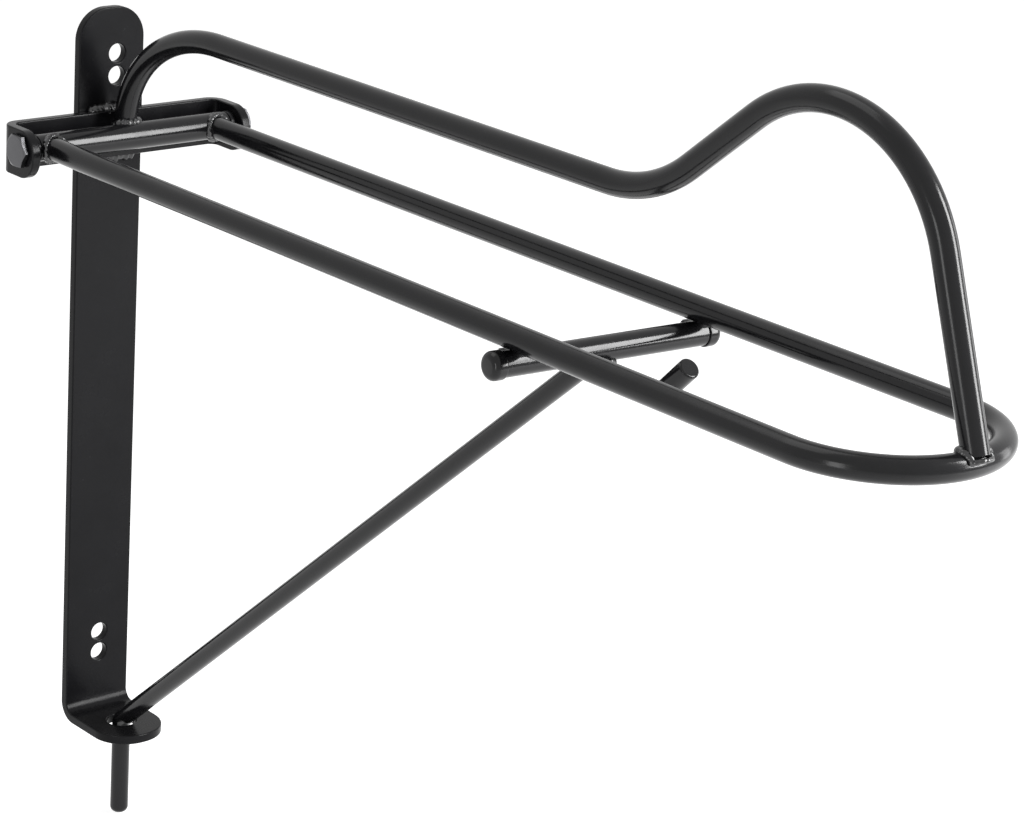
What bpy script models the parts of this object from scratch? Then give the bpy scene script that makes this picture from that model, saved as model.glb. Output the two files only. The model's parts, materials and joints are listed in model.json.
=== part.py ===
# Folding saddle rack, in metres. The wall is the plane y = 0, the arm reaches towards -Y, and +Z is up.
# z = 0 is the height of the two side rails' axes.
from math import ceil, cos, pi, radians, sin, sqrt, tan

import bmesh
import bpy
from mathutils import Matrix, Quaternion, Vector

# Round stock
BAR_DIAMETER = 0.012
ROD_DIAMETER = 0.010
SLEEVE_DIAMETER = 0.014
SEAT_GAP = 0.0003

# Wall plate, a flat bar whose lower end is bent forward into a foot
PLATE_WIDTH = 0.040
PLATE_THICKNESS = 0.005
PLATE_TOP = 0.0645
PLATE_CORNER_RADIUS = 0.017
FOOT_DROP = 0.3305
FOOT_REACH = 0.053
FOOT_CORNER_RADIUS = 0.019
PLATE_BEND_RADIUS = 0.006
FIXING_HOLE_DIAMETER = 0.010
FIXING_HOLE_PITCH = 0.012
UPPER_HOLES_HEIGHT = 0.0337
LOWER_HOLES_ABOVE_FOOT = 0.0375
UPPER_HOLES_SHIFT = 0.0035
LOWER_HOLES_SHIFT = 0.001

# Pivot bracket, a flat bar bent to a U
BRACKET_WIDTH = 0.136
BRACKET_HEIGHT = 0.025
BRACKET_THICKNESS = 0.005
BRACKET_DROP = 0.002
BRACKET_BEND_RADIUS = 0.004
EAR_NOSE_LENGTH = 0.012
EAR_CORNER_RADIUS = 0.012

# Pivot bolt, nut and spacers
PIVOT_OUT = 0.025
BOLT_DIAMETER = 0.010
HEX_ACROSS_FLATS = 0.016
HEAD_HEIGHT = 0.003
NUT_HEIGHT = 0.003
BOLT_TIP_LENGTH = 0.0015
SPACER_LENGTH = 0.0034

# Swinging arm, whose rails join the sleeve a little in from its ends
RAIL_INSET = 0.008
ARM_REACH = 0.614
RIDGE_HEIGHT = 0.063
RIDGE_SETBACK = 0.006
REAR_BEND_LENGTH = 0.0805
HUMP_LENGTH = 0.1935
HUMP_RISE_ANGLE = radians(39.5)
HUMP_ENTRY_RADIUS = 0.080
HUMP_RADIUS = 0.070
HUMP_FALL_ANGLE = radians(70.6)
RIDGE_LEAD = 0.002
COPE_DEPTH = 0.002

# Strut, with its pin in the foot's hole and its hook in front of the crossbar
PIN_OUT = 0.030
PIN_TAIL_LENGTH = 0.0505
PIN_END_ROUNDING = 0.0035
PIN_HOLE_CLEARANCE = 0.0004
ELBOW_RADIUS = 0.006
KNEE_OUT = 0.3858
KNEE_RADIUS = 0.014
HOOK_OUT = 0.435
HOOK_BEND_RADIUS = 0.012
HOOK_LENGTH = 0.0249
HOOK_ANGLE = radians(45.5)
HOOK_END_ROUNDING = 0.001

# Crossbar under the rails, fixed to the strut a little off its own middle
CROSSBAR_OUT = 0.3976
CROSSBAR_SHIFT = 0.0005
CROSSBAR_SKEW = radians(4.4)
CAP_DIAMETER = 0.0135
CAP_LENGTH = 0.007
CAP_ROUNDING = 0.003
LUG_WIDTH = 0.008
LUG_THICKNESS = 0.006
LUG_HEIGHT = 0.006
LUG_SETBACK = 0.003

# Weld beads
WELD_SIZE = 0.0032
WELD_HEIGHT = 0.0045
BRACKET_WELD_SHARE = 0.88

# Facets
ARC_STEP = radians(9)
REAR_BEND_STEPS = 12
NOSE_STEPS = 8
ROUNDING_STEPS = 3
BAR_SIDES = 20
SMALL_SIDES = 24
BALL_SEGMENTS = 18
BALL_RINGS = 10
SMOOTH_ANGLE = radians(35)

X_AXIS = Vector((1, 0, 0))
Y_AXIS = Vector((0, 1, 0))
Z_AXIS = Vector((0, 0, 1))

# Places worked out from the sizes above
BAR_RADIUS = BAR_DIAMETER / 2
ROD_RADIUS = ROD_DIAMETER / 2
SLEEVE_RADIUS = SLEEVE_DIAMETER / 2
BOLT_RADIUS = BOLT_DIAMETER / 2
BORE_RADIUS = BOLT_RADIUS + SEAT_GAP
PIVOT = Vector((0, -PIVOT_OUT, 0))
EAR_OUTER_X = BRACKET_WIDTH / 2
EAR_INNER_X = EAR_OUTER_X - BRACKET_THICKNESS
SLEEVE_END_X = EAR_INNER_X - SPACER_LENGTH - 2 * SEAT_GAP
RAIL_X = SLEEVE_END_X - RAIL_INSET
WEB_BACK_Y = -(PLATE_THICKNESS + SEAT_GAP)
BRACKET_TOP_Z = BRACKET_HEIGHT / 2 - BRACKET_DROP
BRACKET_BOTTOM_Z = -BRACKET_HEIGHT / 2 - BRACKET_DROP
FOOT_UNDERSIDE_Z = -FOOT_DROP - PLATE_THICKNESS
LOWER_HOLES_HEIGHT = -FOOT_DROP + LOWER_HOLES_ABOVE_FOOT
CROSSBAR_Z = -(BAR_DIAMETER + SEAT_GAP)
STRUT_RUN_Z = CROSSBAR_Z - BAR_RADIUS - SEAT_GAP - ROD_RADIUS
ELBOW = Vector((0, -PIN_OUT, -FOOT_DROP))
KNEE = Vector((0, -KNEE_OUT, STRUT_RUN_Z))
LEG_SLOPE = (KNEE - ELBOW).angle(-Y_AXIS)
PIN_HOLE_RADIUS = ROD_RADIUS / sin(LEG_SLOPE) + PIN_HOLE_CLEARANCE
CROSSING = Vector((0, -CROSSBAR_OUT, CROSSBAR_Z))
CROSSBAR_DIRECTION = Vector((cos(CROSSBAR_SKEW), -sin(CROSSBAR_SKEW), 0))
CROSSBAR_CENTRE = CROSSING - CROSSBAR_DIRECTION * CROSSBAR_SHIFT
CROSSBAR_HALF = RAIL_X / cos(CROSSBAR_SKEW) + LUG_WIDTH / 2 + CROSSBAR_SHIFT + SEAT_GAP


def clear_scene():
    for obj in list(bpy.data.objects):
        bpy.data.objects.remove(obj)


# Materials

def finish(name, colour, roughness, metallic):
    """A plain surface of one colour."""
    material = bpy.data.materials.new(name)
    material.use_nodes = True
    shader = material.node_tree.nodes["Principled BSDF"]
    shader.inputs["Base Color"].default_value = (*colour, 1)
    shader.inputs["Roughness"].default_value = roughness
    shader.inputs["Metallic"].default_value = metallic
    return material


def black_paint(name):
    return finish(name + "_paint", colour=(0.022, 0.022, 0.024), roughness=0.32, metallic=0.0)


def black_weld(name):
    return finish(name + "_paint", colour=(0.026, 0.026, 0.028), roughness=0.38, metallic=0.0)


def black_plating(name):
    return finish(name + "_plating", colour=(0.045, 0.045, 0.048), roughness=0.28, metallic=0.6)


# Paths

def rounded_path(corners, radii):
    """The line through the corners, with each inner corner rounded to its radius."""
    points = [corners[0].copy()]
    for before, corner, after, radius in zip(corners, corners[1:], corners[2:], radii):
        way_in = (corner - before).normalized()
        way_out = (after - corner).normalized()
        turn = way_in.angle(way_out)
        axis = way_in.cross(way_out).normalized()
        start = corner - way_in * radius * tan(turn / 2)
        centre = start + axis.cross(way_in) * radius
        steps = ceil(turn / ARC_STEP)
        for step in range(steps + 1):
            point = centre + Quaternion(axis, turn * step / steps) @ (start - centre)
            if (point - points[-1]).length > 1e-6:
                points.append(point)
    points.append(corners[-1].copy())
    return points


def lengthened(path, extra):
    """The path with both ends moved out by extra."""
    longer = [point.copy() for point in path]
    longer[0] += (path[0] - path[1]).normalized() * extra
    longer[-1] += (path[-1] - path[-2]).normalized() * extra
    return longer


def tangents(path):
    """The direction at each point, and the widening that keeps a mitred bar's thickness there."""
    found = []
    for index, point in enumerate(path):
        way_in = (point - path[index - 1]).normalized() if index else None
        way_out = (path[index + 1] - point).normalized() if index + 1 < len(path) else None
        along = ((way_in or way_out) + (way_out or way_in)).normalized()
        found.append((along, 1 / along.dot(way_out or way_in)))
    return found


def loop_path():
    rear_y = -(PIVOT_OUT + SLEEVE_RADIUS + SEAT_GAP)
    corners = [
        Vector((-RAIL_X, rear_y, 0)),
        Vector((-RAIL_X, -ARM_REACH, 0)),
        Vector((RAIL_X, -ARM_REACH, 0)),
        Vector((RAIL_X, rear_y, 0)),
    ]
    return rounded_path(corners, [RAIL_X, RAIL_X])


def ridge_path():
    """Up from the sleeve in a quarter ellipse, level over the seat, over the hump and down to the loop."""
    rear_y = -(PIVOT_OUT - RIDGE_SETBACK)
    foot_z = SLEEVE_RADIUS - COPE_DEPTH
    end_z = BAR_RADIUS - COPE_DEPTH
    bend_y = rear_y - REAR_BEND_LENGTH
    rear_bend = []
    for step in range(REAR_BEND_STEPS):
        turn = pi / 2 * step / REAR_BEND_STEPS
        height = foot_z + (RIDGE_HEIGHT - foot_z) * sin(turn)
        rear_bend.append(Vector((0, bend_y + REAR_BEND_LENGTH * cos(turn), height)))
    level_start = Vector((0, bend_y, RIDGE_HEIGHT))
    entry = Vector((0, -(ARM_REACH - HUMP_LENGTH), RIDGE_HEIGHT))
    end = Vector((0, -(ARM_REACH + RIDGE_LEAD), end_z))
    rise, fall = tan(HUMP_RISE_ANGLE), tan(HUMP_FALL_ANGLE)
    run = (end_z - RIDGE_HEIGHT + fall * (entry.y - end.y)) / (rise + fall)
    summit = Vector((0, entry.y - run, RIDGE_HEIGHT + rise * run))
    hump = rounded_path([level_start, entry, summit, end], [HUMP_ENTRY_RADIUS, HUMP_RADIUS])
    return rear_bend + hump


def strut_path():
    """The pin, the slanting leg, the level run under the crossbar and the upturned hook."""
    hook_turn = Vector((0, -HOOK_OUT, STRUT_RUN_Z))
    hook_way = Vector((0, -cos(HOOK_ANGLE), sin(HOOK_ANGLE)))
    corners = [
        Vector((0, -PIN_OUT, FOOT_UNDERSIDE_Z - PIN_TAIL_LENGTH)),
        ELBOW,
        KNEE,
        hook_turn,
        hook_turn + hook_way * HOOK_LENGTH,
    ]
    return rounded_path(corners, [ELBOW_RADIUS, KNEE_RADIUS, HOOK_BEND_RADIUS])


def crossbar_path(half_length):
    return [
        CROSSBAR_CENTRE - CROSSBAR_DIRECTION * half_length,
        CROSSBAR_CENTRE + CROSSBAR_DIRECTION * half_length,
    ]


def pivot_path(start_x, end_x):
    """A stretch of the pivot's axis."""
    return [PIVOT + X_AXIS * start_x, PIVOT + X_AXIS * end_x]


# Meshes

def finished_mesh(name, build):
    bmesh.ops.recalc_face_normals(build, faces=build.faces)
    mesh = bpy.data.meshes.new(name)
    build.to_mesh(mesh)
    build.free()
    mesh.shade_smooth()
    mesh.set_sharp_from_angle(angle=SMOOTH_ANGLE)
    return mesh


def join_rings(build, rings, closed=False):
    pairs = list(zip(rings, rings[1:]))
    if closed:
        pairs.append((rings[-1], rings[0]))
    for first, second in pairs:
        for index in range(len(first)):
            following = (index + 1) % len(first)
            build.faces.new((first[index], first[following], second[following], second[index]))


def bar_mesh(name, path, radius, normal, sides=BAR_SIDES, start_rounding=0.0, end_rounding=0.0):
    """A round bar along a flat path. Normal is square to the path's plane."""
    stations = []
    for point, (along, widening) in zip(path, tangents(path)):
        stations.append([point, along, widening, radius])
    for rounding, inward, at_start in ((start_rounding, 1, True), (end_rounding, -1, False)):
        if not rounding:
            continue
        point, along, widening, _ = stations.pop(0 if at_start else -1)
        caps = []
        for step in range(ROUNDING_STEPS + 1):
            turn = pi / 2 * step / ROUNDING_STEPS
            shift = along * inward * rounding * (1 - sin(turn))
            caps.append([point + shift, along, widening, radius - rounding * (1 - cos(turn))])
        stations = caps[::-1] + stations if at_start else stations + caps
    build = bmesh.new()
    rings = []
    for point, along, widening, ring_radius in stations:
        across = along.cross(normal).normalized() * widening
        ring = []
        for side in range(sides):
            turn = 2 * pi * side / sides
            ring.append(build.verts.new(point + ring_radius * (normal * cos(turn) + across * sin(turn))))
        rings.append(ring)
    join_rings(build, rings)
    build.faces.new(rings[0])
    build.faces.new(rings[-1])
    return finished_mesh(name, build)


def tube_mesh(name, path, outer, inner, normal):
    """A straight tube with an open bore."""
    start, end = path
    along = (end - start).normalized()
    across = along.cross(normal)
    build = bmesh.new()
    rings = []
    for point, radius in ((start, inner), (start, outer), (end, outer), (end, inner)):
        ring = []
        for side in range(SMALL_SIDES):
            turn = 2 * pi * side / SMALL_SIDES
            ring.append(build.verts.new(point + radius * (normal * cos(turn) + across * sin(turn))))
        rings.append(ring)
    join_rings(build, rings, closed=True)
    return finished_mesh(name, build)


def strip_mesh(name, corners, bend_radius, normal, thickness, width, start_nose, end_nose):
    """A flat bar bent along its middle line, with the corners of both ends rounded to the nose radii."""
    middle = rounded_path(corners, [bend_radius + thickness / 2] * (len(corners) - 2))
    ways = tangents(middle)
    stations = []
    for point, (along, widening), nose, inward in (
        (middle[0], ways[0], start_nose, 1),
        (middle[-1], ways[-1], end_nose, -1),
    ):
        nose_stations = []
        for step in range(NOSE_STEPS + 1):
            turn = pi / 2 * step / NOSE_STEPS
            place = point + along * inward * nose * (1 - cos(turn))
            nose_stations.append((place, along, widening, width / 2 - nose * (1 - sin(turn))))
        stations.append(nose_stations)
    bends = [(point, along, widening, width / 2) for point, (along, widening) in zip(middle, ways)][1:-1]
    build = bmesh.new()
    rings = []
    for point, along, widening, half_width in stations[0] + bends + stations[1][::-1]:
        depth = along.cross(normal).normalized() * widening * thickness / 2
        side = normal * half_width
        ring = [point + side + depth, point + side - depth, point - side - depth, point - side + depth]
        rings.append([build.verts.new(corner) for corner in ring])
    join_rings(build, rings)
    build.faces.new(rings[0])
    build.faces.new(rings[-1])
    return finished_mesh(name, build)


def box_mesh(name, centre, size, turn=0.0):
    build = bmesh.new()
    place = Matrix.Translation(centre) @ Matrix.Rotation(turn, 4, "Z") @ Matrix.Diagonal((*size, 1))
    bmesh.ops.create_cube(build, size=1, matrix=place)
    return finished_mesh(name, build)


def ball_mesh(name, centre, radii):
    build = bmesh.new()
    place = Matrix.Translation(centre) @ Matrix.Diagonal((*radii, 1))
    bmesh.ops.create_uvsphere(
        build, u_segments=BALL_SEGMENTS, v_segments=BALL_RINGS, radius=1, matrix=place
    )
    return finished_mesh(name, build)


# Objects

def add_piece(name, mesh, material, carrier):
    """A named sub-part, carried by an empty on its joint's axis or by the wall plate's empty."""
    piece = bpy.data.objects.new(name, mesh)
    mesh.materials.append(material)
    bpy.context.scene.collection.objects.link(piece)
    piece.parent = carrier
    piece.matrix_parent_inverse = Matrix.Translation(carrier.location).inverted()
    return piece


def add_carrier(name, location):
    carrier = bpy.data.objects.new(name, None)
    carrier.location = location
    bpy.context.scene.collection.objects.link(carrier)
    return carrier


def shape(piece, mesh, operation="DIFFERENCE"):
    """Cuts the mesh from the piece, or joins it to the piece."""
    helper = bpy.data.objects.new(mesh.name, mesh)
    helper.hide_render = True
    helper.display_type = "WIRE"
    bpy.context.scene.collection.objects.link(helper)
    step = piece.modifiers.new(mesh.name, "BOOLEAN")
    step.operation = operation
    step.solver = "EXACT"
    step.object = helper


def loop_room(name):
    return bar_mesh(name, lengthened(loop_path(), SEAT_GAP), BAR_RADIUS + SEAT_GAP, Z_AXIS)


def ridge_room(name):
    return bar_mesh(name, lengthened(ridge_path(), SEAT_GAP), BAR_RADIUS + SEAT_GAP, X_AXIS)


def sleeve_room(name):
    path = pivot_path(-SLEEVE_END_X, SLEEVE_END_X)
    return bar_mesh(name, path, SLEEVE_RADIUS + SEAT_GAP, Z_AXIS, SMALL_SIDES)


def crossbar_room(name):
    path = crossbar_path(CROSSBAR_HALF)
    return bar_mesh(name, path, BAR_RADIUS + SEAT_GAP, Z_AXIS)


def strut_room(name):
    return bar_mesh(name, strut_path(), ROD_RADIUS + SEAT_GAP, X_AXIS)


def weld(name, centre, radii, rooms, carrier):
    """A bead that fills the corner between the pieces whose rooms are cut from it."""
    piece = add_piece(name, ball_mesh(name, centre, radii), black_weld(name), carrier)
    for number, room in enumerate(rooms):
        shape(piece, room(f"{name}_room_{number}"))
    return piece


# Fixed pieces

def wall_plate(carrier):
    middle_y = -PLATE_THICKNESS / 2
    middle_z = -FOOT_DROP - PLATE_THICKNESS / 2
    corners = [
        Vector((0, middle_y, PLATE_TOP)),
        Vector((0, middle_y, middle_z)),
        Vector((0, -FOOT_REACH, middle_z)),
    ]
    mesh = strip_mesh(
        "wall_plate", corners, PLATE_BEND_RADIUS, X_AXIS, PLATE_THICKNESS, PLATE_WIDTH,
        PLATE_CORNER_RADIUS, FOOT_CORNER_RADIUS,
    )
    plate = add_piece("wall_plate", mesh, black_paint("wall_plate"), carrier)
    for place, middle, shift in (
        ("upper", UPPER_HOLES_HEIGHT, UPPER_HOLES_SHIFT),
        ("lower", LOWER_HOLES_HEIGHT, LOWER_HOLES_SHIFT),
    ):
        for number, side in ((1, 1), (2, -1)):
            centre = Vector((shift, 0, middle + side * FIXING_HOLE_PITCH / 2))
            drill = [centre + Y_AXIS * PLATE_THICKNESS, centre - Y_AXIS * 2 * PLATE_THICKNESS]
            name = f"{place}_fixing_hole_{number}"
            shape(plate, bar_mesh(name, drill, FIXING_HOLE_DIAMETER / 2, Z_AXIS, SMALL_SIDES))
    drill = [ELBOW + Z_AXIS * PLATE_THICKNESS, ELBOW - Z_AXIS * 2 * PLATE_THICKNESS]
    shape(plate, bar_mesh("pin_hole", drill, PIN_HOLE_RADIUS, X_AXIS, SMALL_SIDES))


def pivot_bracket(carrier):
    ear_x = EAR_OUTER_X - BRACKET_THICKNESS / 2
    web_y = WEB_BACK_Y - BRACKET_THICKNESS / 2
    nose_y = -(PIVOT_OUT + EAR_NOSE_LENGTH)
    corners = [
        Vector((-ear_x, nose_y, -BRACKET_DROP)),
        Vector((-ear_x, web_y, -BRACKET_DROP)),
        Vector((ear_x, web_y, -BRACKET_DROP)),
        Vector((ear_x, nose_y, -BRACKET_DROP)),
    ]
    mesh = strip_mesh(
        "pivot_bracket", corners, BRACKET_BEND_RADIUS, Z_AXIS, BRACKET_THICKNESS, BRACKET_HEIGHT,
        EAR_CORNER_RADIUS, EAR_CORNER_RADIUS,
    )
    bracket = add_piece("pivot_bracket", mesh, black_paint("pivot_bracket"), carrier)
    drill = pivot_path(-BRACKET_WIDTH, BRACKET_WIDTH)
    shape(bracket, bar_mesh("ear_holes", drill, BORE_RADIUS, Z_AXIS, SMALL_SIDES))


def bracket_welds(carrier):
    """A fillet along the web's top edge and one along its bottom edge, both against the plate."""
    radii = (BRACKET_WELD_SHARE * PLATE_WIDTH / 2, WELD_HEIGHT, WELD_SIZE)

    def plate_room(name):
        depth = 4 * PLATE_THICKNESS
        centre = Vector((0, WEB_BACK_Y + depth / 2, 0))
        return box_mesh(name, centre, (2 * PLATE_WIDTH, depth, 4 * BRACKET_HEIGHT))

    def web_room(name):
        centre = Vector((0, WEB_BACK_Y - BRACKET_HEIGHT / 2 + SEAT_GAP, -BRACKET_DROP))
        return box_mesh(name, centre, (2 * PLATE_WIDTH, BRACKET_HEIGHT, BRACKET_HEIGHT + 2 * SEAT_GAP))

    for place, edge_z in (("upper", BRACKET_TOP_Z), ("lower", BRACKET_BOTTOM_Z)):
        centre = Vector((0, WEB_BACK_Y, edge_z))
        weld(f"bracket_weld_{place}", centre, radii, [plate_room, web_room], carrier)


def pivot_fasteners(carrier):
    hex_radius = HEX_ACROSS_FLATS / sqrt(3)
    seat_x = EAR_OUTER_X + SEAT_GAP
    head = pivot_path(-(seat_x + HEAD_HEIGHT), -seat_x)
    nut = pivot_path(seat_x, seat_x + NUT_HEIGHT)
    shank = pivot_path(-(seat_x + HEAD_HEIGHT / 2), seat_x + NUT_HEIGHT + BOLT_TIP_LENGTH)
    bolt = add_piece(
        "pivot_bolt", bar_mesh("pivot_bolt", head, hex_radius, Z_AXIS, 6), black_plating("pivot_bolt"), carrier
    )
    shape(bolt, bar_mesh("bolt_shank", shank, BOLT_RADIUS, Z_AXIS, SMALL_SIDES), "UNION")
    nut_piece = add_piece(
        "pivot_nut", bar_mesh("pivot_nut", nut, hex_radius, Z_AXIS, 6), black_plating("pivot_nut"), carrier
    )
    bore = pivot_path(0, BRACKET_WIDTH)
    shape(nut_piece, bar_mesh("nut_bore", bore, BORE_RADIUS, Z_AXIS, SMALL_SIDES))
    for place, side in (("left", -1), ("right", 1)):
        name = f"spacer_{place}"
        near_x, far_x = SLEEVE_END_X + SEAT_GAP, EAR_INNER_X - SEAT_GAP
        path = pivot_path(side * near_x, side * far_x)
        add_piece(name, tube_mesh(name, path, SLEEVE_RADIUS, BORE_RADIUS, Z_AXIS), black_paint(name), carrier)


# Swinging arm

def swinging_arm(carrier):
    path = pivot_path(-SLEEVE_END_X, SLEEVE_END_X)
    sleeve = tube_mesh("pivot_sleeve", path, SLEEVE_RADIUS, BORE_RADIUS, Z_AXIS)
    add_piece("pivot_sleeve", sleeve, black_paint("pivot_sleeve"), carrier)
    loop = bar_mesh("seat_rail_loop", loop_path(), BAR_RADIUS, Z_AXIS)
    add_piece("seat_rail_loop", loop, black_paint("seat_rail_loop"), carrier)
    ridge_mesh = bar_mesh("ridge_bar", ridge_path(), BAR_RADIUS, X_AXIS)
    ridge = add_piece("ridge_bar", ridge_mesh, black_paint("ridge_bar"), carrier)
    shape(ridge, sleeve_room("ridge_rear_cope"))
    shape(ridge, loop_room("ridge_front_cope"))


def arm_welds(carrier):
    ring = BAR_RADIUS + WELD_SIZE / 2
    bulge = BAR_RADIUS + WELD_SIZE
    for place, side in (("left", -1), ("right", 1)):
        centre = PIVOT + Vector((side * RAIL_X, -SLEEVE_RADIUS, 0))
        weld(f"sleeve_weld_{place}", centre, (ring, WELD_HEIGHT, ring), [loop_room, sleeve_room], carrier)
    rear = PIVOT + Vector((0, RIDGE_SETBACK / 2, SLEEVE_RADIUS))
    weld("ridge_weld_rear", rear, (bulge, ring, WELD_HEIGHT), [ridge_room, sleeve_room], carrier)
    front = Vector((0, -ARM_REACH, BAR_RADIUS))
    weld("ridge_weld_front", front, (bulge, bulge, WELD_HEIGHT), [ridge_room, loop_room], carrier)


# Strut

def strut(carrier):
    rod = bar_mesh(
        "strut_rod", strut_path(), ROD_RADIUS, X_AXIS,
        start_rounding=PIN_END_ROUNDING, end_rounding=HOOK_END_ROUNDING,
    )
    add_piece("strut_rod", rod, black_paint("strut_rod"), carrier)
    bar = bar_mesh("crossbar", crossbar_path(CROSSBAR_HALF), BAR_RADIUS, Z_AXIS)
    add_piece("crossbar", bar, black_paint("crossbar"), carrier)
    for place, side in (("left", -1), ("right", 1)):
        name = f"crossbar_cap_{place}"
        seat = CROSSBAR_CENTRE + CROSSBAR_DIRECTION * side * (CROSSBAR_HALF + SEAT_GAP)
        path = [seat, seat + CROSSBAR_DIRECTION * side * CAP_LENGTH]
        cap = bar_mesh(name, path, CAP_DIAMETER / 2, Z_AXIS, end_rounding=CAP_ROUNDING)
        add_piece(name, cap, black_paint(name), carrier)


def crossbar_lugs(carrier):
    """Blocks that fill the corner behind the crossbar's top, one under each rail."""
    top_z = -(BAR_RADIUS + 2 * SEAT_GAP)
    back = Vector((-CROSSBAR_DIRECTION.y, CROSSBAR_DIRECTION.x, 0))
    for place, side in (("left", -1), ("right", 1)):
        name = f"crossbar_lug_{place}"
        on_bar = CROSSING + CROSSBAR_DIRECTION * side * RAIL_X / CROSSBAR_DIRECTION.x
        centre = on_bar + back * LUG_SETBACK
        centre.z = top_z - LUG_HEIGHT / 2
        size = (LUG_WIDTH, LUG_THICKNESS, LUG_HEIGHT)
        lug = add_piece(name, box_mesh(name, centre, size, -CROSSBAR_SKEW), black_weld(name), carrier)
        shape(lug, crossbar_room(name + "_room"))


def strut_weld(carrier):
    centre = CROSSING - Z_AXIS * (BAR_RADIUS + SEAT_GAP / 2)
    bulge = BAR_RADIUS + WELD_SIZE
    weld("crossbar_weld", centre, (bulge, bulge, WELD_HEIGHT), [crossbar_room, strut_room], carrier)


def main():
    clear_scene()
    wall = add_carrier("wall_origin", Vector((0, 0, 0)))
    arm = add_carrier("arm_pivot", PIVOT)
    pin = add_carrier("strut_pin", ELBOW)
    wall_plate(wall)
    pivot_bracket(wall)
    bracket_welds(wall)
    pivot_fasteners(wall)
    swinging_arm(arm)
    arm_welds(arm)
    strut(pin)
    crossbar_lugs(pin)
    strut_weld(pin)


main()
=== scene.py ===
# Folding saddle rack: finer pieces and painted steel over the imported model.
# Metres. The wall is y = 0, the arm reaches towards -Y, +Z is up.
import json
from math import ceil, cos, pi, radians, sin, sqrt, tan

import bmesh
import bpy
from mathutils import Matrix, Quaternion, Vector

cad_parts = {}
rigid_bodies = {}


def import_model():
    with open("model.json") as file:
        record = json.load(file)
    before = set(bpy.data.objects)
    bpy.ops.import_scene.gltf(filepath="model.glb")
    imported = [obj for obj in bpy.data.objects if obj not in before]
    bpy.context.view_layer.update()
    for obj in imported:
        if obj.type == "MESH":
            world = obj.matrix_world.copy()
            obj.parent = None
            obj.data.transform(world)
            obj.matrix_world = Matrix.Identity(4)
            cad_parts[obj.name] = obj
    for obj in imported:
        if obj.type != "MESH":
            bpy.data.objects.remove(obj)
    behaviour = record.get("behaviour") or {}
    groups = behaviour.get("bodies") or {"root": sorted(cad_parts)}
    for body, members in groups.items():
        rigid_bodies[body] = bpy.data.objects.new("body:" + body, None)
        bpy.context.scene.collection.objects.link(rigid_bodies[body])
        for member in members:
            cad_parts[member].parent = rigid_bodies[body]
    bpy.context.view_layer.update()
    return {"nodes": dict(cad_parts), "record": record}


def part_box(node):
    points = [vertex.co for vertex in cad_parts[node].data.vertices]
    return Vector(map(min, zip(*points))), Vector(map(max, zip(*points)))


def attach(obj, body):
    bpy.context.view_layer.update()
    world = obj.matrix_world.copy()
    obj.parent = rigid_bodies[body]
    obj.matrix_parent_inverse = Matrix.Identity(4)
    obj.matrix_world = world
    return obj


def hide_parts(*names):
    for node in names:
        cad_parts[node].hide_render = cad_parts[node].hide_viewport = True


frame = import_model()
print("frame loaded:", len(frame["nodes"]), "nodes")

xAxis = Vector((1, 0, 0))
yAxis = Vector((0, 1, 0))
zAxis = Vector((0, 0, 1))
bodyOfNode = {}
for body, members in frame["record"]["behaviour"]["bodies"].items():
    bodyOfNode.update({node: body for node in members})
slotOfNode = {row["node"]: row["material_slot"] for row in frame["record"]["subparts"]}

meshDetail = {
    "barSides": 48,
    "hexSides": 72,
    "arcStep": radians(3),
    "cornerSteps": 16,
    "holeSides": 48,
    "edgeSteps": 3,
    "roundingSteps": 6,
    "bevelSteps": 3,
    "endRounding": 0.0004,
    "softShare": 0.3,            # middle ring of an edge that is broken by two rings
    "samePoint": 1e-6,
    "onFold": 2e-6,
    "onPlane": 1e-7,
    "sharpAngle": radians(38),
    "steadyWeight": 100,
}


# node groups that the paints share

def startGroup(name, inputs, outputs):
    group = bpy.data.node_groups.new(name, "ShaderNodeTree")
    for label, kind, value in inputs:
        socket = group.interface.new_socket(label, in_out="INPUT", socket_type=kind)
        socket.default_value = value
    for label, kind in outputs:
        group.interface.new_socket(label, in_out="OUTPUT", socket_type=kind)
    return group, group.nodes.new("NodeGroupInput"), group.nodes.new("NodeGroupOutput")


def feed(tree, socket, value):
    # a socket is linked, a number or colour is set, None keeps the default
    if isinstance(value, bpy.types.NodeSocket):
        tree.links.new(value, socket)
    elif value is not None:
        socket.default_value = value


def mathNode(tree, operation, first, second=None, clamp=False):
    node = tree.nodes.new("ShaderNodeMath")
    node.operation = operation
    node.use_clamp = clamp
    feed(tree, node.inputs[0], first)
    feed(tree, node.inputs[1], second)
    return node.outputs[0]


def noiseNode(tree, scale, detail, roughness=0.5):
    place = tree.nodes.new("ShaderNodeTexCoord")
    noise = tree.nodes.new("ShaderNodeTexNoise")
    tree.links.new(place.outputs["Object"], noise.inputs["Vector"])
    feed(tree, noise.inputs["Scale"], scale)
    noise.inputs["Detail"].default_value = detail
    noise.inputs["Roughness"].default_value = roughness
    return noise.outputs[0]


def rangeNode(tree, value, fromLow, fromHigh, toLow, toHigh):
    node = tree.nodes.new("ShaderNodeMapRange")
    feed(tree, node.inputs["Value"], value)
    feed(tree, node.inputs["From Min"], fromLow)
    feed(tree, node.inputs["From Max"], fromHigh)
    feed(tree, node.inputs["To Min"], toLow)
    feed(tree, node.inputs["To Max"], toHigh)
    return node.outputs[0]


def mixColour(tree, factor, first, second):
    # sockets 6 and 7 and output 2 are the ones for colours
    node = tree.nodes.new("ShaderNodeMix")
    node.data_type = "RGBA"
    feed(tree, node.inputs[0], factor)
    feed(tree, node.inputs[6], first)
    feed(tree, node.inputs[7], second)
    return node.outputs[2]


peelLook = {"dimpleDetail": 2.0, "waveScale": 90.0, "waveDetail": 2.0}


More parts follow.
